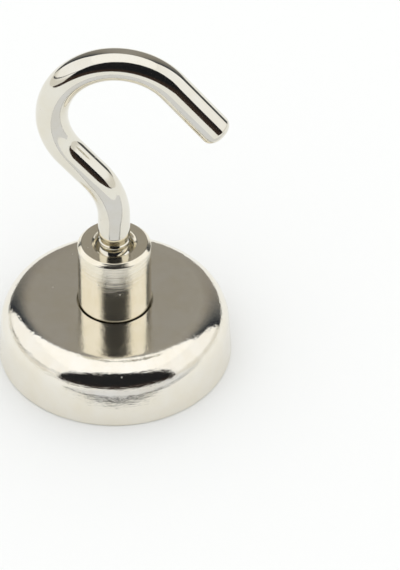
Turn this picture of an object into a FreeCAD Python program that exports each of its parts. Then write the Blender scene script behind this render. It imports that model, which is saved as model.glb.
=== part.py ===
import FreeCAD, Part
import math
import os
import Sketcher

# Pot magnet of 25 mm with a screw-in hook. Every length is in millimetres.
# The origin is the centre of the flat holding face, and +Z runs up the thread's axis.
# The hook lies in the XZ plane with its point towards +X.

doc = FreeCAD.newDocument("HookMagnet")
sheet = doc.addObject("Spreadsheet::Sheet", "Sizes")

# Independent sizes: alias, value, meaning.
SIZES = [
    # steel cup
    ("cup_dia", 25.0, "outside diameter at the rim"),
    ("cup_height", 7.0, "rim to the flat top"),
    ("cup_lean", 0.5, "how far the wall leans inwards over the full height"),
    ("shoulder_radius", 3.2, "rounding between wall and flat top"),
    ("rim_break", 0.25, "rounding at the outside of the rim"),
    ("wall_thick", 2.0, "wall at the rim"),
    ("plate_thick", 2.4, "top plate"),
    ("hole_break", 0.06, "chamfer round the hole for the bush"),
    # magnet, glue and resin
    ("ring_gap", 1.0, "radial gap between magnet and wall"),
    ("bond_thick", 0.2, "glue between magnet and plate"),
    ("magnet_edge", 0.2, "rounding of the magnet's edges"),
    ("resin_recess", 0.2, "how far the resin stays below the holding face"),
    # threaded bush
    ("bush_dia", 7.8, "outside diameter"),
    ("bush_height", 8.0, "height above the flat top"),
    ("bush_edge", 0.4, "chamfer of the bush's top edge"),
    ("bush_edge_round", 0.12, "rounding of that chamfer's corners"),
    ("bush_clearance", 0.15, "radial gap between bush and cup hole"),
    ("flange_width", 1.3, "how far the flange that holds the bush stands out"),
    ("flange_thick", 1.0, "flange height"),
    ("flange_clearance", 0.05, "radial gap round the flange"),
    ("sink_width", 0.45, "how much wider than the thread the countersink is, on each side"),
    ("floor_thick", 1.4, "closed bottom under the bore"),
    # thread
    ("pitch", 0.7, "rise of one turn"),
    ("crest_dia", 3.9, "outside of the hook's thread"),
    ("crest_flat", 0.15, "width of the hook's thread at its crest"),
    ("thread_depth", 0.4, "crest to root"),
    ("thread_clearance", 0.1, "radial gap between the two threads"),
    ("flank_clearance", 0.06, "axial gap on each flank"),
    ("seat_gap", 0.15, "gap under the hook's point when screwed home"),
    # hook
    ("wire_dia", 3.4, "round wire"),
    ("lead_relief", 0.025, "how far the thread's lead end stays below its root"),
    ("collar_relief", 0.05, "how far the collar stays below the wire's surface"),
    ("neck_relief", 0.15, "how far the plain neck stays below the wire's surface"),
    ("pilot_relief", 0.15, "how far the plain point stays below the thread's root"),
    ("pilot_length", 1.0, "length of the plain point"),
    ("pilot_gap", 0.03, "gap between point and thread"),
    ("pilot_edge", 0.3, "chamfer at the point's end"),
    ("thread_below", 0.65, "how far below the bush's face the full thread ends"),
    ("collar_above", 0.56, "how far the collar stands above the bush"),
    ("neck_straight", 0.2, "parallel part of the neck"),
    ("neck_taper", 0.8, "cone from the neck to the full wire"),
    ("shank_straight", 2.07, "straight wire above the cone"),
    ("back_radius", 8.2, "first bend, away from the point"),
    ("back_angle", 40.6, "degrees turned by the first bend"),
    ("back_straight", 4.0, "straight wire between the bends"),
    ("crown_radius", 7.45, "main bend, first part"),
    ("crown_angle", 102.6, "degrees turned by the first part"),
    ("nose_radius", 6.95, "main bend, second part"),
    ("nose_angle", 78.2, "degrees turned by the second part"),
    ("point_length", 7.65, "straight end of the wire"),
    ("point_edge", 0.8, "rounding of the wire's cut end"),
]

# Sizes that follow from the ones above: alias, formula.
DERIVED = [
    ("rim_r", "cup_dia / 2"),
    ("top_r", "rim_r - cup_lean"),
    ("bore_r", "rim_r - wall_thick"),
    ("plate_z", "cup_height - plate_thick"),
    ("inner_round", "ring_gap * 0.9"),
    ("magnet_r", "bore_r - ring_gap"),
    ("magnet_z", "plate_z - bond_thick"),
    ("bush_r", "bush_dia / 2"),
    ("bush_z", "cup_height + bush_height"),
    ("hole_r", "bush_r + bush_clearance"),
    ("flange_r", "bush_r + flange_width"),
    ("seat_r", "flange_r + flange_clearance"),
    ("seat_z", "plate_z + flange_thick"),
    ("floor_z", "plate_z + floor_thick"),
    ("crest_r", "crest_dia / 2"),
    ("root_r", "crest_r - thread_depth"),
    ("minor_r", "root_r + thread_clearance"),
    ("major_r", "crest_r + thread_clearance"),
    ("sink_r", "crest_r + sink_width"),
    ("sink_z", "bush_z - sink_r + minor_r"),
    ("wire_r", "wire_dia / 2"),
    ("collar_r", "wire_r - collar_relief"),
    ("neck_r", "wire_r - neck_relief"),
    ("pilot_r", "root_r - pilot_relief"),
    ("pilot_z", "floor_z + seat_gap"),
    ("pilot_bevel_z", "pilot_z + pilot_edge"),
    ("pilot_bevel_r", "pilot_r - pilot_edge"),
    ("pilot_top_z", "pilot_z + pilot_length"),
    ("lead_z", "pilot_top_z + pilot_gap"),
    ("lead_r", "root_r - lead_relief"),
    ("lead_top_z", "lead_z + crest_r - lead_r"),
    ("crest_z", "bush_z - thread_below"),
    ("runout_z", "crest_z + crest_r - collar_r"),
    ("collar_z", "bush_z + collar_above"),
    ("neck_foot_z", "collar_z + collar_r - neck_r"),
    ("neck_z", "neck_foot_z + neck_straight"),
    ("shank_z", "neck_z + neck_taper"),
    ("bend_z", "shank_z + shank_straight"),
    # cutters of the two threads: half widths at their inner and outer radius
    ("cut_margin", "0.1"),
    ("groove_out_r", "crest_r + cut_margin"),
    ("groove_out_w", "(pitch - crest_flat) / 2 + cut_margin * tan(30 deg)"),
    ("groove_in_w", "(pitch - crest_flat) / 2 - thread_depth * tan(30 deg)"),
    ("groove_z", "floor_z"),
    ("groove_low_out", "groove_z - groove_out_w"),
    ("groove_low_in", "groove_z - groove_in_w"),
    ("groove_high_in", "groove_z + groove_in_w"),
    ("groove_high_out", "groove_z + groove_out_w"),
    ("groove_height", "collar_z - crest_flat - groove_z"),
    ("tap_z", "groove_z + pitch / 2"),
    ("tap_in_r", "minor_r - cut_margin"),
    ("tap_in_w", "crest_flat / 2 + flank_clearance + (crest_r - tap_in_r) * tan(30 deg)"),
    ("tap_out_w", "crest_flat / 2 + flank_clearance - thread_clearance * tan(30 deg)"),
    ("tap_low_in", "tap_z - tap_in_w"),
    ("tap_low_out", "tap_z - tap_out_w"),
    ("tap_high_out", "tap_z + tap_out_w"),
    ("tap_high_in", "tap_z + tap_in_w"),
    ("tap_height", "bush_z + pitch - tap_z"),
]

row = 0
for alias, value, meaning in SIZES:
    row += 1
    sheet.set("A%d" % row, alias)
    sheet.set("B%d" % row, str(value))
    sheet.set("C%d" % row, meaning)
    sheet.setAlias("B%d" % row, alias)
for alias, formula in DERIVED:
    row += 1
    sheet.set("A%d" % row, alias)
    sheet.set("B%d" % row, "=" + formula)
    sheet.setAlias("B%d" % row, alias)
doc.recompute()


def size(alias):
    """The number in one named cell."""
    value = sheet.get(alias)
    return float(getattr(value, "Value", value))


def new_body(name):
    """An empty body named after its node."""
    body = doc.addObject("PartDesign::Body", name)
    body.Label = name
    return body


def origin_plane(body, role):
    """One of the body's own three base planes."""
    return [f for f in body.Origin.OriginFeatures if f.Role == role][0]


def new_sketch(body, name, role):
    """An empty sketch on one of the body's own base planes."""
    sketch = body.newObject("Sketcher::SketchObject", name)
    sketch.AttachmentSupport = [(origin_plane(body, role), "")]
    sketch.MapMode = "FlatFace"
    return sketch


def pin_down(sketch, geometry, end, axis, alias):
    """Ties one end of a line to a named size along the sketch's X or Y axis."""
    if alias == 0:
        across = -2 if axis == "X" else -1
        sketch.addConstraint(Sketcher.Constraint("PointOnObject", geometry, end, across))
        return
    kind = "Distance" + axis
    index = sketch.addConstraint(Sketcher.Constraint(kind, -1, 1, geometry, end, size(alias)))
    sketch.setExpression("Constraints[%d]" % index, "Sizes." + alias)


def profile(body, name, corners):
    """A closed outline in the XZ plane. Each corner is (radius, height), both named sizes or 0."""
    sketch = new_sketch(body, name, "XZ_Plane")
    points = []
    for radius, height in corners:
        x = size(radius) if radius else 0.0
        y = size(height) if height else 0.0
        points.append(FreeCAD.Vector(x, y, 0))
    count = len(points)
    for i in range(count):
        sketch.addGeometry(Part.LineSegment(points[i], points[(i + 1) % count]), False)
    for i in range(count):
        sketch.addConstraint(Sketcher.Constraint("Coincident", i, 2, (i + 1) % count, 1))
    for i, (radius, height) in enumerate(corners):
        pin_down(sketch, i, 1, "X", radius)
        pin_down(sketch, i, 1, "Y", height)
    doc.recompute()
    return sketch


def turned(body, name, corners):
    """A solid of revolution about the Z axis."""
    sketch = profile(body, name + "_outline", corners)
    feature = body.newObject("PartDesign::Revolution", name)
    feature.Profile = sketch
    feature.ReferenceAxis = (sketch, ["V_Axis"])
    feature.Angle = 360.0
    doc.recompute()
    return feature


def helical_cut(body, name, corners, height):
    """Cuts a right-hand helical groove of the thread's pitch about the Z axis."""
    before = body.Shape.Volume
    sketch = profile(body, name + "_outline", corners)
    feature = body.newObject("PartDesign::SubtractiveHelix", name)
    feature.Profile = sketch
    feature.ReferenceAxis = (sketch, ["V_Axis"])
    feature.Mode = "pitch-height-angle"
    feature.setExpression("Pitch", "Sizes.pitch")
    feature.setExpression("Height", "Sizes." + height)
    feature.Angle = 0.0
    feature.LeftHanded = False
    doc.recompute()
    if feature.Shape.Volume > before - 1.0:
        raise RuntimeError(name + " doesn't cut")
    return feature


def ring_edges(feature, radius, height):
    """Names of the round edges with this radius at this height."""
    found = []
    for index, edge in enumerate(feature.Shape.Edges):
        curve = edge.Curve
        if not isinstance(curve, Part.Circle):
            continue
        near_radius = abs(curve.Radius - radius) < 1e-4
        near_height = abs(curve.Center.z - height) < 1e-4
        if near_radius and near_height:
            found.append("Edge%d" % (index + 1))
    if not found:
        raise RuntimeError("no edge of radius %.2f at %.2f" % (radius, height))
    return found


def rounded(body, name, feature, edges, alias):
    """Rounds edges with a named radius."""
    dressed = body.newObject("PartDesign::Fillet", name)
    dressed.Base = (feature, edges)
    dressed.setExpression("Radius", "Sizes." + alias)
    doc.recompute()
    return dressed


def bevelled(body, name, feature, edges, alias):
    """Chamfers edges with a named size."""
    dressed = body.newObject("PartDesign::Chamfer", name)
    dressed.Base = (feature, edges)
    dressed.setExpression("Size", "Sizes." + alias)
    doc.recompute()
    return dressed


def make_cup():
    """Steel cup: leaning wall, large rounded shoulder, flat plate with a stepped hole for the bush."""
    body = new_body("steel_cup")
    corners = [
        ("bore_r", 0),
        ("rim_r", 0),
        ("top_r", "cup_height"),
        ("hole_r", "cup_height"),
        ("hole_r", "seat_z"),
        ("seat_r", "seat_z"),
        ("seat_r", "plate_z"),
        ("bore_r", "plate_z"),
    ]
    cup = turned(body, "cup_turned", corners)
    edge = ring_edges(cup, size("top_r"), size("cup_height"))
    cup = rounded(body, "cup_shoulder", cup, edge, "shoulder_radius")
    edge = ring_edges(cup, size("bore_r"), size("plate_z"))
    cup = rounded(body, "cup_inner_corner", cup, edge, "inner_round")
    edge = ring_edges(cup, size("rim_r"), 0.0)
    cup = rounded(body, "cup_rim", cup, edge, "rim_break")
    edge = ring_edges(cup, size("hole_r"), size("cup_height"))
    bevelled(body, "cup_hole_edge", cup, edge, "hole_break")
    return body


def make_magnet():
    """Solid disc magnet, flush with the cup's rim."""
    body = new_body("disc_magnet")
    corners = [(0, 0), ("magnet_r", 0), ("magnet_r", "magnet_z"), (0, "magnet_z")]
    disc = turned(body, "magnet_disc", corners)
    edges = ring_edges(disc, size("magnet_r"), 0.0)
    edges += ring_edges(disc, size("magnet_r"), size("magnet_z"))
    rounded(body, "magnet_edges", disc, edges, "magnet_edge")
    return body


def make_bond():
    """Glue film between magnet and plate."""
    body = new_body("bond_film")
    corners = [(0, "magnet_z"), ("magnet_r", "magnet_z"), ("magnet_r", "plate_z"), (0, "plate_z")]
    turned(body, "bond_disc", corners)
    return body


def make_resin():
    """Resin that fills the ring gap round the magnet."""
    body = new_body("potting_ring")
    corners = [
        ("magnet_r", "resin_recess"),
        ("bore_r", "resin_recess"),
        ("bore_r", "plate_z"),
        ("magnet_r", "plate_z"),
    ]
    ring = turned(body, "resin_ring", corners)
    edge = ring_edges(ring, size("bore_r"), size("plate_z"))
    rounded(body, "resin_corner", ring, edge, "inner_round")
    return body


def make_bush():
    """Threaded bush: flange inside the cup, closed bottom, countersunk mouth and right-hand thread."""
    body = new_body("threaded_bush")
    corners = [
        (0, "plate_z"),
        ("flange_r", "plate_z"),
        ("flange_r", "seat_z"),
        ("bush_r", "seat_z"),
        ("bush_r", "bush_z"),
        ("sink_r", "bush_z"),
        ("minor_r", "sink_z"),
        ("minor_r", "floor_z"),
        (0, "floor_z"),
    ]
    bush = turned(body, "bush_turned", corners)
    edge = ring_edges(bush, size("bush_r"), size("bush_z"))
    bush = bevelled(body, "bush_top_edge", bush, edge, "bush_edge")
    edges = ring_edges(bush, size("bush_r") - size("bush_edge"), size("bush_z"))
    edges += ring_edges(bush, size("bush_r"), size("bush_z") - size("bush_edge"))
    rounded(body, "bush_edge_corners", bush, edges, "bush_edge_round")
    corners = [
        ("tap_in_r", "tap_low_in"),
        ("major_r", "tap_low_out"),
        ("major_r", "tap_high_out"),
        ("tap_in_r", "tap_high_in"),
    ]
    helical_cut(body, "bush_thread", corners, "tap_height")
    return body


def make_pilot():
    """Plain point at the lower end of the hook's thread."""
    body = new_body("hook_pilot_tip")
    corners = [
        (0, "pilot_z"),
        ("pilot_bevel_r", "pilot_z"),
        ("pilot_r", "pilot_bevel_z"),
        ("pilot_r", "pilot_top_z"),
        (0, "pilot_top_z"),
    ]
    turned(body, "pilot_turned", corners)
    return body


def hook_spine(body):
    """Centre line of the bent wire in the XZ plane, from the shank to the point."""
    sketch = new_sketch(body, "hook_spine", "XZ_Plane")
    # each piece of the path: length of a straight, or radius and signed turn (left is positive)
    bends = [
        ("straight", "shank_straight", 0.0),
        ("back_radius", "back_angle", 1.0),
        ("straight", "back_straight", 0.0),
        ("crown_radius", "crown_angle", -1.0),
        ("nose_radius", "nose_angle", -1.0),
        ("straight", "point_length", 0.0),
    ]
    here = FreeCAD.Vector(0, size("shank_z"), 0)
    heading = math.pi / 2
    kinds = []
    for first, second, turn in bends:
        along = FreeCAD.Vector(math.cos(heading), math.sin(heading), 0)
        if first == "straight":
            there = here + along * size(second)
            sketch.addGeometry(Part.LineSegment(here, there), False)
            kinds.append((1, 2))
        else:
            radius = size(first)
            angle = math.radians(size(second))
            side = FreeCAD.Vector(-along.y, along.x, 0) * turn
            centre = here + side * radius
            start = math.atan2(here.y - centre.y, here.x - centre.x)
            circle = Part.Circle(centre, FreeCAD.Vector(0, 0, 1), radius)
            if turn > 0:
                arc = Part.ArcOfCircle(circle, start, start + angle)
                kinds.append((1, 2))
            else:
                arc = Part.ArcOfCircle(circle, start - angle, start)
                kinds.append((2, 1))
            sketch.addGeometry(arc, False)
            heading += turn * angle
            swing = start + turn * angle
            there = centre + FreeCAD.Vector(math.cos(swing), math.sin(swing), 0) * radius
        here = there
    for i in range(len(bends) - 1):
        end = kinds[i][1]
        begin = kinds[i + 1][0]
        sketch.addConstraint(Sketcher.Constraint("Tangent", i, end, i + 1, begin))
    sketch.addConstraint(Sketcher.Constraint("Vertical", 0))
    pin_down(sketch, 0, 1, "X", 0)
    pin_down(sketch, 0, 1, "Y", "shank_z")
    for i, (first, second, turn) in enumerate(bends):
        if first == "straight":
            index = sketch.addConstraint(Sketcher.Constraint("Distance", i, size(second)))
            sketch.setExpression("Constraints[%d]" % index, "Sizes." + second)
            continue
        index = sketch.addConstraint(Sketcher.Constraint("Radius", i, size(first)))
        sketch.setExpression("Constraints[%d]" % index, "Sizes." + first)
        index = sketch.addConstraint(Sketcher.Constraint("Angle", i, math.radians(size(second))))
        sketch.setExpression("Constraints[%d]" % index, "Sizes.%s * 1 deg" % second)
    doc.recompute()
    return sketch, here, heading


def make_hook():
    """Hook of round wire with a tapered neck, a short collar and a right-hand thread below it."""
    body = new_body("screw_hook")
    corners = [
        (0, "lead_z"),
        ("lead_r", "lead_z"),
        ("crest_r", "lead_top_z"),
        ("crest_r", "crest_z"),
        ("collar_r", "runout_z"),
        ("collar_r", "collar_z"),
        ("neck_r", "neck_foot_z"),
        ("neck_r", "neck_z"),
        ("wire_r", "shank_z"),
        (0, "shank_z"),
    ]
    turned(body, "shank_turned", corners)
    corners = [
        ("root_r", "groove_low_in"),
        ("groove_out_r", "groove_low_out"),
        ("groove_out_r", "groove_high_out"),
        ("root_r", "groove_high_in"),
    ]
    helical_cut(body, "hook_thread", corners, "groove_height")
    spine, end, heading = hook_spine(body)
    section = new_sketch(body, "wire_section", "XY_Plane")
    section.setExpression("AttachmentOffset.Base.z", "Sizes.shank_z")
    circle = Part.Circle(FreeCAD.Vector(0, 0, 0), FreeCAD.Vector(0, 0, 1), size("wire_r"))
    section.addGeometry(circle, False)
    section.addConstraint(Sketcher.Constraint("Coincident", 0, 3, -1, 1))
    index = section.addConstraint(Sketcher.Constraint("Radius", 0, size("wire_r")))
    section.setExpression("Constraints[%d]" % index, "Sizes.wire_r")
    doc.recompute()
    wire = body.newObject("PartDesign::AdditivePipe", "bent_wire")
    wire.Profile = section
    wire.Spine = spine
    doc.recompute()
    cut_end = FreeCAD.Vector(end.x, 0, end.y)
    tip = []
    for index, edge in enumerate(wire.Shape.Edges):
        curve = edge.Curve
        if isinstance(curve, Part.Circle) and (curve.Center - cut_end).Length < 1e-3:
            tip.append("Edge%d" % (index + 1))
    if not tip:
        raise RuntimeError("the wire's cut end wasn't found")
    rounded(body, "point_round", wire, tip, "point_edge")
    return body


bodies = [
    make_cup(),
    make_bush(),
    make_magnet(),
    make_bond(),
    make_resin(),
    make_pilot(),
    make_hook(),
]
doc.recompute()

for item in doc.Objects:
    if "Invalid" in item.State or "Error" in item.State:
        raise RuntimeError(item.Name + " is in state " + str(item.State))

os.makedirs("parts", exist_ok=True)
for body in bodies:
    shape = body.Shape
    if shape.isNull() or not shape.isValid() or len(shape.Solids) != 1:
        raise RuntimeError(body.Label + " isn't one valid solid")
    shape.exportStep("parts/" + body.Label + ".step")
    print(body.Label, "volume %.3f mm3" % shape.Volume)
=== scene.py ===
import math

import bmesh
import bpy
from bpy.props import FloatProperty, FloatVectorProperty, IntProperty, PointerProperty
from mathutils import Matrix, Quaternion, Vector


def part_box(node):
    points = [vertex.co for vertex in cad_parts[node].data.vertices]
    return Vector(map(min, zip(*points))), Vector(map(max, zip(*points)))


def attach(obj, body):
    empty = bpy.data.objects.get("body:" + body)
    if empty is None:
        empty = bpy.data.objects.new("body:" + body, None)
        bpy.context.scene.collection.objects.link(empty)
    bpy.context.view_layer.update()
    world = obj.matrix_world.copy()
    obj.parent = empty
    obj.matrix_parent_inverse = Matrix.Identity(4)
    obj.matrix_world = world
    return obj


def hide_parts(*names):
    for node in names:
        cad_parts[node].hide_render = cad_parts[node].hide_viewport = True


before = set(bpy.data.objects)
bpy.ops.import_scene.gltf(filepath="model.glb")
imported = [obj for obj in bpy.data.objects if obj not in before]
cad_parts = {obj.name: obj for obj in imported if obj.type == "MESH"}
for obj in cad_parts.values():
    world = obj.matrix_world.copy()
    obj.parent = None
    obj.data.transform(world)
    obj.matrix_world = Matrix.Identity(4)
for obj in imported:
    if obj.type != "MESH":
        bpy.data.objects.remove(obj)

# Looks of the hook pot magnet: nickel-plated steel cup, turned bush and screw-in hook of bent wire.
# Lengths are in metres, the holding face is at height 0, and the hook points towards +X.

bl_info = {
    "name": "Hook pot magnet",
    "version": (1, 0, 0),
    "blender": (4, 5, 0),
    "location": "View3D > Sidebar > Hook magnet",
    "description": "Builds the looks of a small pot magnet with a screw-in hook",
    "category": "Object",
}

MM = 0.001
UP = Vector((0, 0, 1))

# edges that turn more than this stay crisp
SHARP = math.radians(32)
# how far beyond a rounding or bend the support points stand, which keep the flats beside it flat
SUPPORT = 0.06 * MM
# faces across each millimetre of a rounding's radius, and the fewest across any rounding
ROUND_FACES = 14
ROUND_LEAST = 6
# degrees of bend to each ring of the wire, and the fewest rings in any bend
BEND_STEP = 1.4
BEND_LEAST = 8
# faces to each turn of the two threads, and the slope of their flanks
INNER_THREAD_STEPS = 48
OUTER_THREAD_STEPS = 96
FLANK = math.tan(math.radians(30))
# how far the grey sheet lies turned from the X axis
SHEET_TURN = math.radians(8.3)
# what the camera looks at
AIM = Vector((8.994, 1.152, 8.781)) * MM

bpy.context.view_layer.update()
CUP_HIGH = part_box("steel_cup")[1]
BUSH_LOW, BUSH_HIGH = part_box("threaded_bush")


# ---------------------------------------------------------------- helpers

def linear(code):
    """An sRGB hex colour as linear RGBA."""
    parts = [int(code[i:i + 2], 16) / 255 for i in (1, 3, 5)]
    return [((c + 0.055) / 1.055) ** 2.4 if c > 0.04045 else c / 12.92 for c in parts] + [1.0]


def length(name, millimetres, description):
    """A length that a user may change."""
    return FloatProperty(name=name, description=description, default=millimetres * MM, min=0.0,
                         unit="LENGTH", precision=5)


def angle(name, degrees, description):
    """An angle that a user may change."""
    return FloatProperty(name=name, description=description, default=math.radians(degrees), subtype="ANGLE")


def tint(name, code, description):
    """A colour that a user may change."""
    return FloatVectorProperty(name=name, description=description, default=linear(code), size=4,
                               subtype="COLOR", min=0.0, max=1.0)


def node(tree, kind, values=None, links=None, **settings):
    """Adds a shader node, sets its settings and sockets, and links other sockets into it."""
    made = tree.nodes.new(kind)
    for key, value in settings.items():
        setattr(made, key, value)
    for key, value in (values or {}).items():
        made.inputs[key].default_value = value
    for key, source in (links or {}).items():
        tree.links.new(source, made.inputs[key])
    return made


def set_stops(ramp, stops):
    """Sets a colour ramp's stops: position and linear colour."""
    for index, (place, colour) in enumerate(stops):
        stop = ramp.color_ramp.elements[index] if index < 2 else ramp.color_ramp.elements.new(place)
        stop.position = place
        stop.color = colour


def finished(bm, name, material, body, replaced):
    """Makes a piece of a bmesh: merged, outward, smooth with crisp corners, riding on its body."""
    bmesh.ops.remove_doubles(bm, verts=bm.verts, dist=1e-7)
    bmesh.ops.recalc_face_normals(bm, faces=bm.faces)
    for face in bm.faces:
        face.smooth = True
    mesh = bpy.data.meshes.new(name)
    bm.to_mesh(mesh)
    bm.free()
    mesh.set_sharp_from_angle(angle=SHARP)
    mesh.materials.append(material)
    piece = bpy.data.objects.new(name, mesh)
    bpy.context.scene.collection.objects.link(piece)
    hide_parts(replaced)
    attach(piece, body)


def turned(bm, corners, closed, steps):
    """Turns a half section once round the axis. Corners are radius, height and rounding, in metres."""
    points = [Vector((radius, 0, height)) for radius, height, _ in corners]
    chain = []
    rounded = []
    for index, (_, _, rounding) in enumerate(corners):
        here = points[index]
        if not rounding:
            chain.append(bm.verts.new(here))
            continue
        before = (points[index - 1] - here).normalized()
        after = (points[(index + 1) % len(points)] - here).normalized()
        reach = rounding / math.tan(before.angle(after) / 2)
        corner = bm.verts.new(here)
        chain += [bm.verts.new(here + before * (reach + SUPPORT)), corner,
                  bm.verts.new(here + after * (reach + SUPPORT))]
        rounded.append((corner, reach, max(ROUND_LEAST, round(rounding / MM * ROUND_FACES))))
    links = list(zip(chain, chain[1:])) + ([(chain[-1], chain[0])] if closed else [])
    for pair in links:
        bm.edges.new(pair)
    for corner, reach, segments in rounded:
        bmesh.ops.bevel(bm, geom=[corner], offset=reach, offset_type="OFFSET", segments=segments,
                        profile=0.5, affect="VERTICES", material=-1)
    bmesh.ops.spin(bm, geom=bm.verts[:] + bm.edges[:], cent=(0, 0, 0), axis=UP, angle=math.tau,
                   steps=steps, use_merge=True)


def thread_ridge(bm, profile, start, pitch, turns, steps):
    """Winds a closed ridge round the axis, rising one pitch a turn. The profile is radius and height."""
    ring = [bm.verts.new((radius, 0, start + height)) for radius, height in profile]
    edges = [bm.edges.new((ring[i - 1], ring[i])) for i in range(len(ring))]
    wound = bmesh.ops.spin(bm, geom=ring + edges, cent=(0, 0, 0), axis=UP, dvec=(0, 0, pitch / steps),
                           angle=math.tau * turns, steps=round(steps * turns))
    last = [item for item in wound["geom_last"] if isinstance(item, bmesh.types.BMEdge)]
    for loop in (edges, last):
        bmesh.ops.holes_fill(bm, edges=loop, sides=len(profile))


def join(bm, other):
    """Adds another bmesh's faces to this one."""
    mesh = bpy.data.meshes.new("joined")
    other.to_mesh(mesh)
    other.free()
    bm.from_mesh(mesh)
    bpy.data.meshes.remove(mesh)


def split_ring(geometry):
    """The vertices and edges of a ring that an operator has made."""
    verts = [item for item in geometry if isinstance(item, bmesh.types.BMVert)]
    edges = [item for item in geometry if isinstance(item, bmesh.types.BMEdge)]
    return verts, edges


def drawn_on(bm, edges, along):
    """Draws a ring of edges on by a vector. Gives the new ring's vertices and edges."""
    verts, edges = split_ring(bmesh.ops.extrude_edge_only(bm, edges=edges)["geom"])
    bmesh.ops.translate(bm, verts=verts, vec=along)
    return verts, edges


# ---------------------------------------------------------------- what a user would change

class CupSettings(bpy.types.PropertyGroup):
    """Sizes and colour of the drawn steel cup"""
    lean: length("Lean", 0.5, "How far the wall leans in over its height")
    wall: length("Wall", 2.0, "Thickness of the wall at its foot")
    plate: length("Plate", 2.4, "Thickness of the flat top")
    shoulder: length("Shoulder radius", 3.2, "Rounding between top and wall")
    rim_break: length("Rim break", 0.25, "Rounding of the rim's edges")
    hole_break: length("Hole break", 0.06, "Rounding of the edge round the bush")
    inner_round: length("Inner corner", 0.9, "Rounding inside the cup")
    hole: length("Hole radius", 4.05, "Hole that the bush stands in")
    seat: length("Seat radius", 5.25, "Recess for the bush's flange, seen from inside")
    seat_height: length("Seat height", 5.6, "Underside of the plate round the hole")
    steps: IntProperty(name="Steps", description="Faces round the cup", default=192, min=24)
    plating: tint("Plating", "#efebe1", "Bright nickel on the drawn steel")


class BushSettings(bpy.types.PropertyGroup):
    """Sizes and colour of the turned bush"""
    radius: length("Radius", 3.9, "Outside of the bush")
    edge: length("Top edge", 0.4, "Chamfer of the top edge")
    edge_round: length("Top edge rounding", 0.12, "Rounding of that chamfer's corners")
    sink: length("Countersink radius", 2.4, "Mouth of the thread at the top face")
    sink_edge: length("Countersink edge", 0.15, "Rounding of the mouth's edge")
    flange: length("Flange height", 1.0, "Flange that holds the bush in the cup")
    floor: length("Floor", 1.4, "Closed bottom under the thread")
    groove_radius: length("Thread groove radius", 2.05, "Bottom of the inner thread")
    crest_radius: length("Thread crest radius", 1.65, "Crest of the inner thread")
    crest: length("Thread crest width", 0.084, "Width of the inner thread's crest")
    steps: IntProperty(name="Steps", description="Faces round the bush", default=128, min=24)
    plating: tint("Plating", "#f1ebdb", "Bright nickel on the turned steel")


class HookSettings(bpy.types.PropertyGroup):
    """Sizes, bends and colour of the hook"""
    wire: length("Wire radius", 1.7, "Half the wire's diameter")
    lead: length("Lead height", 7.18, "Lower end of the thread")
    lead_radius: length("Lead radius", 1.525, "Radius of the thread's lower end")
    root: length("Thread root radius", 1.55, "Root of the outer thread")
    crest: length("Thread crest radius", 1.95, "Crest of the outer thread")
    crest_flat: length("Thread crest width", 0.15, "Width of the outer thread's crest")
    pitch: length("Pitch", 0.7, "Rise of one turn")
    thread_base: length("Thread base", 6.35, "Height of the ridge's centre line over +X, carried down")
    thread_top: length("Thread top", 14.35, "Where the full thread ends and runs out")
    collar_radius: length("Collar radius", 1.65, "Short collar above the thread")
    collar_top: length("Collar top", 15.56, "Upper edge of the collar")
    neck_radius: length("Neck radius", 1.55, "Plain neck above the collar")
    neck_top: length("Neck top", 15.86, "Where the neck widens")
    shank: length("Shank height", 16.66, "Where the wire has its full size")
    shank_run: length("Shank", 2.07, "Straight wire above the neck")
    back_radius: length("Back bend", 8.2, "Radius of the first bend")
    back_angle: angle("Back angle", 40.6, "Turn of the first bend")
    back_run: length("Back", 4.0, "Straight wire between the bends")
    crown_radius: length("Crown bend", 7.45, "Radius of the main bend")
    crown_angle: angle("Crown angle", 102.6, "Turn of the main bend")
    nose_radius: length("Nose bend", 6.95, "Radius where the main bend closes in")
    nose_angle: angle("Nose angle", 78.2, "Turn of the nose bend")
    point_run: length("Point", 7.65, "Straight end of the wire")
    point_edge: length("Point edge", 0.8, "Rounding of the cut end")
    sides: IntProperty(name="Sides", description="Faces round the wire", default=72, min=16)
    plating: tint("Plating", "#e4e1d7", "Bright nickel on the drawn wire")


class InnerSettings(bpy.types.PropertyGroup):
    """Colours of what is inside the cup"""
    magnet: tint("Magnet", "#d3d1cb", "Satin nickel on the sintered magnet")
    glue: tint("Glue", "#a89b78", "Cured glue film")
    resin: tint("Resin", "#151518", "Cured potting resin")


class StageSettings(bpy.types.PropertyGroup):
    """Table, light and camera"""
    table: tint("Table", "#f6f7f6", "Paper that the magnet stands on")
    air: FloatProperty(name="Air light", description="Even light from all round", default=1.08, min=0.0)
    top_light: FloatProperty(name="Top light", description="Glow of the tent's ceiling", default=1.17,
                             min=0.0)
    side_light: FloatProperty(name="Side light", description="Glow of the tent's sides", default=1.08,
                              min=0.0)
    turn: angle("Camera turn", 6.018, "Camera's angle from the front, towards +X")
    rise: angle("Camera rise", 41.948, "Camera's angle above the table")
    roll: angle("Camera roll", 0.2712, "Camera's turn about its own line of sight")
    distance: length("Camera distance", 544.82, "From the lens to the aim point")
    lens: FloatProperty(name="Lens", description="Focal length", default=323.557, min=1.0, unit="CAMERA")


# ---------------------------------------------------------------- finishes

def base_material(name, colour, metallic, roughness):
    """A Principled material, with its object coordinates in millimetres."""
    material = bpy.data.materials.new(name)
    material.use_nodes = True
    tree = material.node_tree
    tree.nodes.clear()
    shader = node(tree, "ShaderNodeBsdfPrincipled",
                  {"Base Color": colour, "Metallic": metallic, "Roughness": roughness})
    node(tree, "ShaderNodeOutputMaterial", links={"Surface": shader.outputs["BSDF"]})
    place = node(tree, "ShaderNodeTexCoord").outputs["Object"]
    mm = node(tree, "ShaderNodeMapping", {"Scale": (1000, 1000, 1000)}, {"Vector": place}).outputs["Vector"]
    return material, tree, shader, mm


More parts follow.
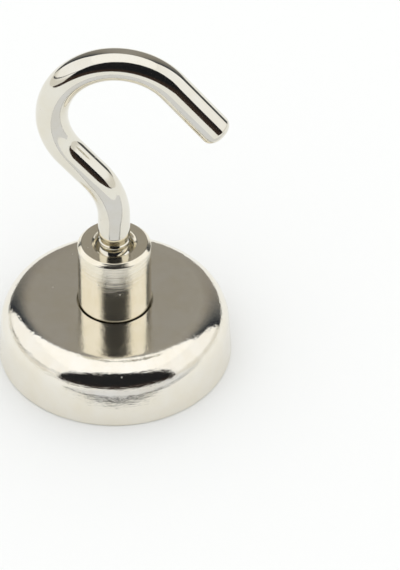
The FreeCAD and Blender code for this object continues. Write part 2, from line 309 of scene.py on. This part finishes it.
def nickel_plate(name, colour, peel, peel_size, grain, grain_depth, polish, top=None):
    """Bright nickel plate: a mirror with a faint warm cast, whose base metal shows in how it blurs.

    peel: depth of the soft orange peel, and peel_size its width. grain: how many marks a millimetre
    along X, Y and Z, and grain_depth how deep they are. polish: least and most roughness. top: the height
    of a flat top that is left a little duller than the rest.
    """
    material, tree, shader, mm = base_material(name, colour, 1.0, polish[0])
    marks_place = node(tree, "ShaderNodeMapping", {"Scale": grain}, {"Vector": mm}).outputs["Vector"]
    marks = node(tree, "ShaderNodeTexNoise", {"Scale": 1.0, "Detail": 3.0, "Roughness": 0.65},
                 {"Vector": marks_place})
    marks_bump = node(tree, "ShaderNodeBump", {"Distance": grain_depth * MM},
                      {"Height": marks.outputs["Fac"]})
    peel_noise = node(tree, "ShaderNodeTexNoise", {"Scale": 1 / peel_size, "Detail": 2.0}, {"Vector": mm})
    peel_bump = node(tree, "ShaderNodeBump", {"Distance": peel * MM},
                     {"Height": peel_noise.outputs["Fac"], "Normal": marks_bump.outputs["Normal"]})
    tree.links.new(peel_bump.outputs["Normal"], shader.inputs["Normal"])
    # dust and pits: round spots 0.1 to 0.2 mm wide, a few to the square centimetre
    cells = node(tree, "ShaderNodeTexVoronoi", {"Scale": 0.9}, {"Vector": mm})
    spot = node(tree, "ShaderNodeMapRange",
                {"From Min": 0.04, "From Max": 0.09, "To Min": 1.0, "To Max": 0.0},
                {"Value": cells.outputs["Distance"]})
    chosen = node(tree, "ShaderNodeMapRange", {"From Min": 0.66, "From Max": 0.70},
                  {"Value": cells.outputs["Color"]})
    dust = node(tree, "ShaderNodeMath", links={0: spot.outputs["Result"], 1: chosen.outputs["Result"]},
                operation="MULTIPLY")
    # polish and cast vary in soft patches a few millimetres wide
    patches = node(tree, "ShaderNodeTexNoise", {"Scale": 0.35, "Detail": 4.0, "Roughness": 0.6},
                   {"Vector": mm})
    sheen = node(tree, "ShaderNodeMapRange",
                 {"From Min": 0.3, "From Max": 0.7, "To Min": polish[0], "To Max": polish[1]},
                 {"Value": patches.outputs["Fac"]})
    if top:
        height = node(tree, "ShaderNodeSeparateXYZ", links={"Vector": mm}).outputs["Z"]
        duller = node(tree, "ShaderNodeMapRange",
                      {"From Min": top - 0.25, "From Max": top - 0.02, "To Max": 0.06}, {"Value": height})
        sheen = node(tree, "ShaderNodeMath", links={0: sheen.outputs["Result"], 1: duller.outputs["Result"]},
                     operation="ADD")
    rough = node(tree, "ShaderNodeMix", {"B": 0.6},
                 {"Factor": dust.outputs["Value"], "A": sheen.outputs[0]}, data_type="FLOAT")
    tree.links.new(rough.outputs["Result"], shader.inputs["Roughness"])
    cast = node(tree, "ShaderNodeValToRGB", links={"Fac": patches.outputs["Fac"]})
    set_stops(cast, [(0.35, colour), (0.7, [colour[0] * 0.97, colour[1] * 0.95, colour[2] * 0.90, 1.0])])
    tree.links.new(cast.outputs["Color"], shader.inputs["Base Color"])
    return material


def satin_nickel(name, colour):
    """Satin nickel on a ground magnet: dull silver with fine straight grinding lines and soft darker patches.
    """
    material, tree, shader, mm = base_material(name, colour, 1.0, 0.32)
    # about seven grinding lines to the millimetre, each a couple of millimetres long
    place = node(tree, "ShaderNodeMapping", {"Scale": (0.4, 7, 0.4)}, {"Vector": mm}).outputs["Vector"]
    lines = node(tree, "ShaderNodeTexNoise", {"Scale": 1.0, "Detail": 4.0, "Roughness": 0.7},
                 {"Vector": place})
    bump = node(tree, "ShaderNodeBump", {"Distance": 0.004 * MM}, {"Height": lines.outputs["Fac"]})
    tree.links.new(bump.outputs["Normal"], shader.inputs["Normal"])
    rough = node(tree, "ShaderNodeMapRange", {"To Min": 0.24, "To Max": 0.42},
                 {"Value": lines.outputs["Fac"]})
    tree.links.new(rough.outputs["Result"], shader.inputs["Roughness"])
    patches = node(tree, "ShaderNodeTexNoise", {"Scale": 0.5, "Detail": 3.0}, {"Vector": mm})
    shade = node(tree, "ShaderNodeValToRGB", links={"Fac": patches.outputs["Fac"]})
    set_stops(shade, [(0.3, [c * 0.85 for c in colour[:3]] + [1.0]), (0.7, colour)])
    tree.links.new(shade.outputs["Color"], shader.inputs["Base Color"])
    return material


def cured_resin(name, colour, gloss, ripple):
    """Cured resin or glue: smooth skin with slow ripples and a few small bubbles."""
    material, tree, shader, mm = base_material(name, colour, 0.0, gloss)
    # ripples a millimetre or so wide, and bubbles up to 0.2 mm across
    slow = node(tree, "ShaderNodeTexNoise", {"Scale": 0.8, "Detail": 2.0}, {"Vector": mm})
    cells = node(tree, "ShaderNodeTexVoronoi", {"Scale": 1.6}, {"Vector": mm})
    bubble = node(tree, "ShaderNodeMapRange", {"From Min": 0.05, "From Max": 0.14},
                  {"Value": cells.outputs["Distance"]})
    height = node(tree, "ShaderNodeMath", links={0: slow.outputs["Fac"], 1: bubble.outputs["Result"]},
                  operation="MULTIPLY")
    bump = node(tree, "ShaderNodeBump", {"Distance": ripple * MM}, {"Height": height.outputs["Value"]})
    tree.links.new(bump.outputs["Normal"], shader.inputs["Normal"])
    shade = node(tree, "ShaderNodeValToRGB", links={"Fac": slow.outputs["Fac"]})
    set_stops(shade, [(0.3, [c * 0.7 for c in colour[:3]] + [1.0]), (0.7, colour)])
    tree.links.new(shade.outputs["Color"], shader.inputs["Base Color"])
    return material


def hook_nickel(colour):
    """The wire's finish, shared by the hook and its plain point: long faint draw lines along the wire."""
    found = bpy.data.materials.get("bright_nickel_on_drawn_wire")
    return found or nickel_plate("bright_nickel_on_drawn_wire", colour, 0.0006, 0.5,
                                 (0.12, 5.0, 0.12), 0.0012, (0.05, 0.09))


# ---------------------------------------------------------------- pieces

class MAGNET_OT_steel_cup(bpy.types.Operator):
    """Builds the drawn steel cup in place of the plain one"""
    bl_idname = "magnet.steel_cup"
    bl_label = "Steel cup"

    def execute(self, context):
        cup = context.scene.magnet_cup
        rim, top = CUP_HIGH[0], CUP_HIGH[2]
        bore, ceiling = rim - cup.wall, top - cup.plate
        corners = [
            (bore, 0.0, cup.rim_break),
            (rim, 0.0, cup.rim_break),
            (rim - cup.lean, top, cup.shoulder),
            (cup.hole, top, cup.hole_break),
            (cup.hole, cup.seat_height, 0.0),
            (cup.seat, cup.seat_height, 0.0),
            (cup.seat, ceiling, 0.0),
            (bore, ceiling, cup.inner_round),
        ]
        bm = bmesh.new()
        turned(bm, corners, True, cup.steps)
        # drawn and tumbled: soft orange peel on the shoulder, faint lines round the wall
        finish = nickel_plate("bright_nickel_on_drawn_steel", list(cup.plating), 0.012, 0.45,
                              (0.6, 0.6, 4.5), 0.02, (0.07, 0.10), top / MM)
        finished(bm, "cup_shell", finish, "magnet_base", "steel_cup")
        return {"FINISHED"}


class MAGNET_OT_turned_bush(bpy.types.Operator):
    """Builds the turned bush with its countersunk inner thread"""
    bl_idname = "magnet.turned_bush"
    bl_label = "Turned bush"

    def execute(self, context):
        bush, hook = context.scene.magnet_bush, context.scene.magnet_hook
        foot, top, flange = BUSH_LOW[2], BUSH_HIGH[2], BUSH_HIGH[0]
        floor = foot + bush.floor
        corners = [
            (0.0, foot, 0.0),
            (flange, foot, 0.0),
            (flange, foot + bush.flange, 0.0),
            (bush.radius, foot + bush.flange, 0.0),
            (bush.radius, top - bush.edge, bush.edge_round),
            (bush.radius - bush.edge, top, bush.edge_round),
            (bush.sink, top, bush.sink_edge),
            (bush.groove_radius, top - bush.sink + bush.groove_radius, 0.0),
            (bush.groove_radius, floor, 0.0),
            (0.0, floor, 0.0),
        ]
        bm = bmesh.new()
        turned(bm, corners, False, bush.steps)
        # the inner thread's ridge, wound into the wall and bored out by the countersink
        depth = bush.groove_radius - bush.crest_radius
        root = bush.groove_radius + SUPPORT
        half_crest = bush.crest / 2
        half_root = half_crest + (depth + SUPPORT) * FLANK
        profile = [(root, -half_root), (bush.crest_radius, -half_crest),
                   (bush.crest_radius, half_crest), (root, half_root)]
        ridge = bmesh.new()
        turns = round((top - bush.sink + bush.groove_radius - floor) / hook.pitch) - 0.5
        thread_ridge(ridge, profile, floor, hook.pitch, turns, INNER_THREAD_STEPS)
        clear = 0.01 * MM
        for vert in ridge.verts:
            radius = vert.co.xy.length
            bored = bush.sink - (top - vert.co.z) - clear
            if radius < bored:
                vert.co.xy *= min(bored, root) / radius
        join(bm, ridge)
        # turned on a lathe: rings round the bush that blur reflections up and down
        finish = nickel_plate("bright_nickel_on_turned_bush", list(bush.plating), 0.0008, 0.3,
                              (0.15, 0.15, 6.0), 0.014, (0.12, 0.15))
        finished(bm, "bush_turned", finish, "magnet_base", "threaded_bush")
        return {"FINISHED"}


class MAGNET_OT_bent_hook(bpy.types.Operator):
    """Builds the hook of bent wire with its collar and thread"""
    bl_idname = "magnet.bent_hook"
    bl_label = "Bent hook"

    def execute(self, context):
        hook = context.scene.magnet_hook
        bm = bmesh.new()
        verts, edges = self.shank(bm, hook)
        self.bent_wire(bm, hook, verts, edges)
        join(bm, self.thread(hook))
        finished(bm, "bent_hook", hook_nickel(list(hook.plating)), "hook", "screw_hook")
        return {"FINISHED"}

    def shank(self, bm, hook):
        """Draws a capped ring upwards into the thread's core, the collar and the neck."""
        made = bmesh.ops.create_circle(bm, cap_ends=True, segments=hook.sides, radius=hook.lead_radius,
                                       matrix=Matrix.Translation((0, 0, hook.lead)))
        verts = made["verts"]
        edges = [edge for edge in bm.edges if all(vert in verts for vert in edge.verts)]
        taper = (hook.wire - hook.neck_radius) / (hook.shank - hook.neck_top)
        steps = [
            (hook.lead + (hook.root - hook.lead_radius), hook.root),
            (hook.collar_top - hook.crest_flat, hook.root),
            (hook.collar_top - hook.crest_flat, hook.collar_radius),
            (hook.collar_top, hook.collar_radius),
            (hook.collar_top + hook.collar_radius - hook.neck_radius, hook.neck_radius),
            (hook.neck_top, hook.neck_radius),
            (hook.neck_top + SUPPORT, hook.neck_radius + SUPPORT * taper),
            (hook.shank - SUPPORT, hook.wire - SUPPORT * taper),
            (hook.shank, hook.wire),
        ]
        height, radius = hook.lead, hook.lead_radius
        for new_height, new_radius in steps:
            verts, edges = drawn_on(bm, edges, (0, 0, new_height - height))
            bmesh.ops.scale(bm, verts=verts, vec=(new_radius / radius, new_radius / radius, 1))
            height, radius = new_height, new_radius
        return verts, edges

    def bent_wire(self, bm, hook, verts, edges):
        """Draws the ring on along the straights, spins it round the bends and rounds the cut end."""
        here, heading = Vector((0, 0, hook.shank)), Vector((0, 0, 1))
        # the first bend leans towards -X, the others come back over the axis
        path = [
            (hook.shank_run, 0.0),
            (hook.back_radius, -hook.back_angle),
            (hook.back_run, 0.0),
            (hook.crown_radius, hook.crown_angle),
            (hook.nose_radius, hook.nose_angle),
            (hook.point_run, 0.0),
        ]
        for size, turn in path:
            if not turn:
                # the last straight leaves room for the rounded end
                tail = SUPPORT + (hook.point_edge if size == hook.point_run else 0)
                for part in (SUPPORT, size - SUPPORT - tail, tail):
                    verts, edges = drawn_on(bm, edges, heading * part)
                here = here + heading * size
                continue
            side = Vector((heading.z, 0, -heading.x)) * math.copysign(1, turn)
            centre = here + side * size
            bend = Matrix.Rotation(turn, 3, "Y")
            rings = max(BEND_LEAST, round(math.degrees(abs(turn)) / BEND_STEP))
            spun = bmesh.ops.spin(bm, geom=verts + edges, cent=centre, axis=(0, math.copysign(1, turn), 0),
                                  angle=abs(turn), steps=rings)
            verts, edges = split_ring(spun["geom_last"])
            here = centre + bend @ (here - centre)
            heading = bend @ heading
        bmesh.ops.holes_fill(bm, edges=edges, sides=hook.sides)
        bmesh.ops.bevel(bm, geom=edges, offset=hook.point_edge, offset_type="OFFSET", segments=12,
                        profile=0.5, affect="EDGES", material=-1)

    def thread(self, hook):
        """Winds the outer thread, turned down to the lead cone below, and to the run-out and collar above."""
        root = hook.root - SUPPORT
        half_crest = hook.crest_flat / 2
        half_root = half_crest + (hook.crest - root) * FLANK
        profile = [(root, -half_root), (root, half_root), (hook.crest, half_crest), (hook.crest, -half_crest)]
        first = math.ceil((hook.lead + half_root - hook.thread_base) / hook.pitch)
        start = hook.thread_base + first * hook.pitch
        turns = math.floor((hook.collar_top - start) / hook.pitch * OUTER_THREAD_STEPS) / OUTER_THREAD_STEPS
        ridge = bmesh.new()
        thread_ridge(ridge, profile, start, hook.pitch, turns, OUTER_THREAD_STEPS)
        for vert in ridge.verts:
            lead = hook.lead_radius + (vert.co.z - hook.lead)
            runout = max(hook.collar_radius, hook.crest - (vert.co.z - hook.thread_top))
            if vert.co.xy.length > min(lead, runout):
                vert.co.xy *= min(lead, runout) / vert.co.xy.length
        return ridge


class MAGNET_OT_inner_parts(bpy.types.Operator):
    """Gives the magnet, glue, resin and the hook's plain point their finishes"""
    bl_idname = "magnet.inner_parts"
    bl_label = "Inner parts"

    def execute(self, context):
        inner = context.scene.magnet_inner
        finishes = {
            "disc_magnet": satin_nickel("satin_nickel_on_sintered_magnet", list(inner.magnet)),
            "bond_film": cured_resin("cured_glue", list(inner.glue), 0.35, 0.02),
            "potting_ring": cured_resin("cured_potting_resin", list(inner.resin), 0.18, 0.03),
            "hook_pilot_tip": hook_nickel(list(context.scene.magnet_hook.plating)),
        }
        for name, finish in finishes.items():
            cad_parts[name].material_slots[0].material = finish
        return {"FINISHED"}


# ---------------------------------------------------------------- stage

def tent_panel(name, corners, stops, axis, span, strength):
    """A glowing panel of the light tent, seen only in the metal. Its colours run along one axis."""
    bm = bmesh.new()
    bm.faces.new([bm.verts.new(corner) for corner in corners])
    mesh = bpy.data.meshes.new(name)
    bm.to_mesh(mesh)
    bm.free()
    material = bpy.data.materials.new(name)
    material.use_nodes = True
    tree = material.node_tree
    tree.nodes.clear()
    place = node(tree, "ShaderNodeTexCoord").outputs["Object"]
    split = node(tree, "ShaderNodeSeparateXYZ", links={"Vector": place})
    along = node(tree, "ShaderNodeMapRange", {"From Min": span[0], "From Max": span[1]},
                 {"Value": split.outputs[axis]})
    colours = node(tree, "ShaderNodeValToRGB", links={"Fac": along.outputs["Result"]})
    set_stops(colours, stops)
    glow = node(tree, "ShaderNodeEmission", {"Strength": strength}, {"Color": colours.outputs["Color"]})
    node(tree, "ShaderNodeOutputMaterial", links={"Surface": glow.outputs["Emission"]})
    mesh.materials.append(material)
    panel = bpy.data.objects.new(name, mesh)
    bpy.context.scene.collection.objects.link(panel)
    panel.visible_camera = False
    panel.visible_diffuse = False
    panel.visible_shadow = False
    panel.visible_transmission = False


class MAGNET_OT_stage(bpy.types.Operator):
    """Sets the white table, the light tent round it, the air's even light and the camera"""
    bl_idname = "magnet.stage"
    bl_label = "Table, light and camera"

    def execute(self, context):
        stage = context.scene.magnet_stage
        self.table(list(stage.table))
        self.tent(stage)
        self.air(context, stage.air)
        self.camera(context, stage)
        return {"FINISHED"}

    def table(self, colour):
        """Lays a sheet of white paper under the magnet."""
        bm = bmesh.new()
        # a hair below the holding face, so that the two never share a plane
        bmesh.ops.create_grid(bm, x_segments=2, y_segments=2, size=3.0,
                              matrix=Matrix.Translation((0, 0, -0.01 * MM)))
        mesh = bpy.data.meshes.new("table")
        bm.to_mesh(mesh)
        bm.free()
        # matt white paper: no highlight of its own, only the soft contact shadow
        material, _, shader, _ = base_material("white_table_paper", colour, 0.0, 0.9)
        shader.inputs["Specular IOR Level"].default_value = 0.0
        mesh.materials.append(material)
        table = bpy.data.objects.new("table", mesh)
        bpy.context.scene.collection.objects.link(table)

    def tent(self, stage):
        """Hangs the tent's glowing sides, ceiling and dark openings round the magnet."""
        left, right, front, back, top = -0.5, 0.5, -0.5, 0.35, 0.66
        right_front = -0.27
        sheet_end = -0.15
        white = linear("#ffffff")
        low = linear("#e0ded8")
        night, brown = linear("#1b1c1f"), linear("#3b2f29")
        dusk, slate, grey = linear("#2c3038"), linear("#5c5e5f"), linear("#938f89")
        sides = [(0.0, low), (0.1, low), (0.2, white), (1.0, white)]
        tent_panel("tent_top",
                   [(left, front, top), (right, front, top), (right, back, top), (left, back, top)],
                   [(0.0, white), (1.0, white)], "X", (left, right), stage.top_light)
        tent_panel("tent_back", [(left, back, 0), (right, back, 0), (right, back, top), (left, back, top)],
                   [(0.0, night), (0.06, dusk), (0.16, slate), (0.35, grey), (0.5, linear("#9e9b94")),
                    (0.65, grey), (0.84, slate), (0.94, dusk), (1.0, night)], "X", (left, right), 1.0)
        near, far = Vector((left, front, 0)), Vector((right, right_front, 0))
        for name, foot, head in (("tent_left", near, (left, back, 0)), ("tent_right", far, (right, back, 0)),
                                 ("tent_front", near, far)):
            tent_panel(name, [Vector(foot), Vector(head), Vector(head) + UP * top, Vector(foot) + UP * top],
                       sides, "Z", (0, top), stage.side_light)
        # the front's dark opening is arched: full height in the middle, low at both sides
        arch = [(0.0, 0.0), (1.0, 0.0), (1.0, 0.26), (0.9, 0.45), (0.7, 0.58), (0.5, 0.62), (0.3, 0.58),
                (0.1, 0.45), (0.0, 0.26)]
        tent_panel("tent_opening", [near.lerp(far, t) + Vector((0, 4 * MM, z)) for t, z in arch],
                   [(0.0, brown), (0.15, night), (1.0, night)], "Z", (0, top), 1.0)
        tent_panel("sheet_end",
                   [(left, sheet_end, MM), (right, sheet_end, MM), (right, right_front, MM),
                    (left, front, MM)],
                   [(0.0, brown), (1.0, brown)], "X", (left, right), 1.0)
        # a sheet of cool grey paper in front, whose near edge the shank and the wall show. Both cards glow
        # and are seen only in the metal: the sheet is a painted reflection of the grey paper, and the slate
        # card a little larger beneath it draws the paper's edge and a painted shadow line along it as a thin
        # dark border
        turn = Matrix.Rotation(SHEET_TURN, 3, "Z")
        for name, colour, border, height in (("grey_sheet", linear("#e6e8ec"), 0.0, 1.0),
                                             ("grey_sheet_edge_and_shadow", slate, 0.5, 0.5)):
            west, east = (-12 - border) * MM, 100 * MM
            north, south = (-16.5 + border) * MM, (-48 - border) * MM
            sheet = [turn @ Vector((x, y, height * MM))
                     for x, y in ((west, north), (east, north), (east, south), (west, south))]
            tent_panel(name, sheet, [(0.0, colour), (1.0, colour)], "X", (left, right), 1.0)
        # the seam of the left side, a thin dark line that climbs towards the opening
        inside = left + 2 * MM
        tent_panel("tent_seam",
                   [(inside, 0.2, 0.042), (inside, -0.28, 0.137), (inside, front, 0.232),
                    (inside, front, 0.258), (inside, -0.28, 0.158), (inside, 0.2, 0.058)],
                   [(0.0, dusk), (1.0, dusk)], "Y", (front, back), 1.0)

    def air(self, context, strength):
        """Fills the room with even white light."""
        world = bpy.data.worlds.new("studio_air")
        context.scene.world = world
        world.use_nodes = True
        tree = world.node_tree
        tree.nodes.clear()
        sky = node(tree, "ShaderNodeBackground", {"Color": (1, 1, 1, 1), "Strength": strength})
        node(tree, "ShaderNodeOutputWorld", links={"Surface": sky.outputs["Background"]})

    def camera(self, context, stage):
        """Sets a long lens above the table, looking down at the magnet."""
        back = Vector((math.sin(stage.turn) * math.cos(stage.rise),
                       -math.cos(stage.turn) * math.cos(stage.rise), math.sin(stage.rise)))
        lens = bpy.data.cameras.new("camera")
        lens.sensor_width = 36
        lens.lens = stage.lens
        camera = bpy.data.objects.new("camera", lens)
        context.scene.collection.objects.link(camera)
        camera.location = AIM + back * stage.distance
        camera.rotation_mode = "QUATERNION"
        camera.rotation_quaternion = (-back).to_track_quat("-Z", "Y") @ Quaternion((0, 0, 1), stage.roll)
        context.scene.camera = camera
        context.scene.view_settings.view_transform = "Standard"


class MAGNET_PT_panel(bpy.types.Panel):
    """Lists the magnet's pieces and their settings"""
    bl_idname = "MAGNET_PT_panel"
    bl_label = "Hook magnet"
    bl_space_type = "VIEW_3D"
    bl_region_type = "UI"
    bl_category = "Hook magnet"

    def draw(self, context):
        for piece, group in PIECES:
            box = self.layout.box()
            box.operator(piece.bl_idname)
            settings = getattr(context.scene, group)
            for key in settings.bl_rna.properties.keys():
                if key not in ("rna_type", "name"):
                    box.prop(settings, key)


PIECES = [
    (MAGNET_OT_steel_cup, "magnet_cup"),
    (MAGNET_OT_turned_bush, "magnet_bush"),
    (MAGNET_OT_bent_hook, "magnet_hook"),
    (MAGNET_OT_inner_parts, "magnet_inner"),
    (MAGNET_OT_stage, "magnet_stage"),
]
GROUPS = {
    "magnet_cup": CupSettings,
    "magnet_bush": BushSettings,
    "magnet_hook": HookSettings,
    "magnet_inner": InnerSettings,
    "magnet_stage": StageSettings,
}


def register():
    """Registers the settings, the operators and the panel."""
    for name, group in GROUPS.items():
        bpy.utils.register_class(group)
        setattr(bpy.types.Scene, name, PointerProperty(type=group))
    for piece, _ in PIECES:
        bpy.utils.register_class(piece)
    bpy.utils.register_class(MAGNET_PT_panel)


def unregister():
    """Takes the panel, the operators and the settings away again."""
    bpy.utils.unregister_class(MAGNET_PT_panel)
    for piece, _ in reversed(PIECES):
        bpy.utils.unregister_class(piece)
    for name, group in GROUPS.items():
        delattr(bpy.types.Scene, name)
        bpy.utils.unregister_class(group)


def main():
    """Builds every piece and the stage."""
    register()
    bpy.ops.magnet.steel_cup()
    bpy.ops.magnet.turned_bush()
    bpy.ops.magnet.bent_hook()
    bpy.ops.magnet.inner_parts()
    bpy.ops.magnet.stage()


if __name__ == "__main__":
    main()
